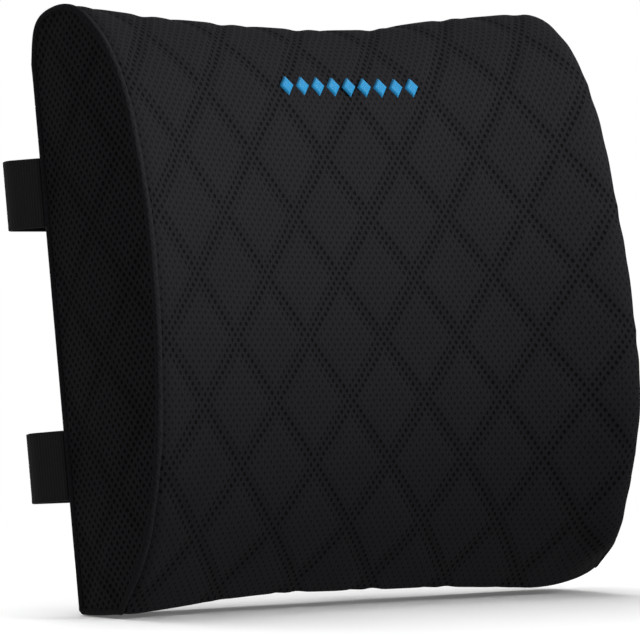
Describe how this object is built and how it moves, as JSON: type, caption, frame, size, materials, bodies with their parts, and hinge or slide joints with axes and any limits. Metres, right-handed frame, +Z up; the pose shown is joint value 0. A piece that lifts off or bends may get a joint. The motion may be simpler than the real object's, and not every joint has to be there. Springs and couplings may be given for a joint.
{
  "type": "lumbar support cushion",
  "caption": "D-shaped foam lumbar cushion in a quilted air-mesh cover, with two webbing straps and side-release buckles behind it and a zip across the back.",
  "frame": {"origin": "centre of the bounding box in X and Y, on the surface the cushion stands on", "axes": "+X across the cushion, with the straps' free tails at -X; the front that meets the sitter's back faces -Y; +Z up"},
  "size_m": [0.3594, 0.1288, 0.3215],
  "materials": {
    "foam": "matte",
    "liner": "matte",
    "mesh_fabric": "matte",
    "zip_tape": "matte",
    "zip_coil": "satin",
    "zip_metal": "satin",
    "badge_thread": "satin",
    "label": "matte",
    "webbing": "matte",
    "buckle_plastic": "satin"
  },
  "bodies": {
    "cushion": {"foam_core": "foam", "inner_liner": "liner", "front_panel": "mesh_fabric", "left_gusset": "mesh_fabric", "right_gusset": "mesh_fabric", "back_panel": "mesh_fabric", "back_hem": "mesh_fabric", "zip_tape_lower": "zip_tape", "zip_tape_upper": "zip_tape", "zip_coil_lower": "zip_coil", "zip_coil_upper": "zip_coil", "zip_stop_left": "zip_metal", "zip_stop_right": "zip_metal", "badge": "badge_thread", "care_label": "label", "lower_webbing_left": "webbing", "lower_webbing_right": "webbing", "lower_buckle_socket": "buckle_plastic", "upper_webbing_left": "webbing", "upper_webbing_right": "webbing", "upper_buckle_socket": "buckle_plastic"},
    "lower_plug": {"lower_buckle_plug": "buckle_plastic"},
    "lower_keeper": {"lower_keeper": "buckle_plastic"},
    "lower_prong_top": {"lower_prong_top": "buckle_plastic"},
    "lower_prong_bottom": {"lower_prong_bottom": "buckle_plastic"},
    "upper_plug": {"upper_buckle_plug": "buckle_plastic"},
    "upper_keeper": {"upper_keeper": "buckle_plastic"},
    "upper_prong_top": {"upper_prong_top": "buckle_plastic"},
    "upper_prong_bottom": {"upper_prong_bottom": "buckle_plastic"},
    "zip_slider": {"zip_slider": "zip_metal"},
    "zip_pull": {"zip_pull": "zip_metal"}
  },
  "joints": [
    {"name": "lower_buckle_release", "type": "slide", "parent": "cushion", "child": "lower_plug", "axis": [-1, 0, 0], "range_m": [0, 0.029], "deforming": ["lower_webbing_left", "lower_prong_top", "lower_prong_bottom"]},
    {"name": "lower_keeper_slide", "type": "slide", "parent": "cushion", "child": "lower_keeper", "axis": [-1, 0, 0], "range_m": [0, 0.045]},
    {"name": "lower_prong_top_squeeze", "type": "hinge", "parent": "lower_plug", "child": "lower_prong_top", "pos_m": [0.0222, 0.03766, 0.09139], "axis": [0, 0.9898, -0.1426], "range_deg": [0, 12], "stiffness_Nm_per_rad": 0.2},
    {"name": "lower_prong_bottom_squeeze", "type": "hinge", "parent": "lower_plug", "child": "lower_prong_bottom", "pos_m": [0.0222, 0.0331, 0.05971], "axis": [0, -0.9898, 0.1426], "range_deg": [0, 12], "stiffness_Nm_per_rad": 0.2},
    {"name": "upper_buckle_release", "type": "slide", "parent": "cushion", "child": "upper_plug", "axis": [-1, 0, 0], "range_m": [0, 0.029], "deforming": ["upper_webbing_left", "upper_prong_top", "upper_prong_bottom"]},
    {"name": "upper_keeper_slide", "type": "slide", "parent": "cushion", "child": "upper_keeper", "axis": [-1, 0, 0], "range_m": [0, 0.045]},
    {"name": "upper_prong_top_squeeze", "type": "hinge", "parent": "upper_plug", "child": "upper_prong_top", "pos_m": [0.0222, 0.05834, 0.2349], "axis": [0, 0.9898, -0.1426], "range_deg": [0, 12], "stiffness_Nm_per_rad": 0.2},
    {"name": "upper_prong_bottom_squeeze", "type": "hinge", "parent": "upper_plug", "child": "upper_prong_bottom", "pos_m": [0.0222, 0.05378, 0.20323], "axis": [0, -0.9898, 0.1426], "range_deg": [0, 12], "stiffness_Nm_per_rad": 0.2},
    {"name": "zip_slide", "type": "slide", "parent": "cushion", "child": "zip_slider", "axis": [1, 0, 0], "range_m": [0, 0.276]},
    {"name": "zip_pull_swing", "type": "hinge", "parent": "zip_slider", "child": "zip_pull", "pos_m": [-0.138, 0.01044, 0.02661], "axis": [0, 0.1426, 0.9898], "range_deg": [0, 180]}
  ]
}
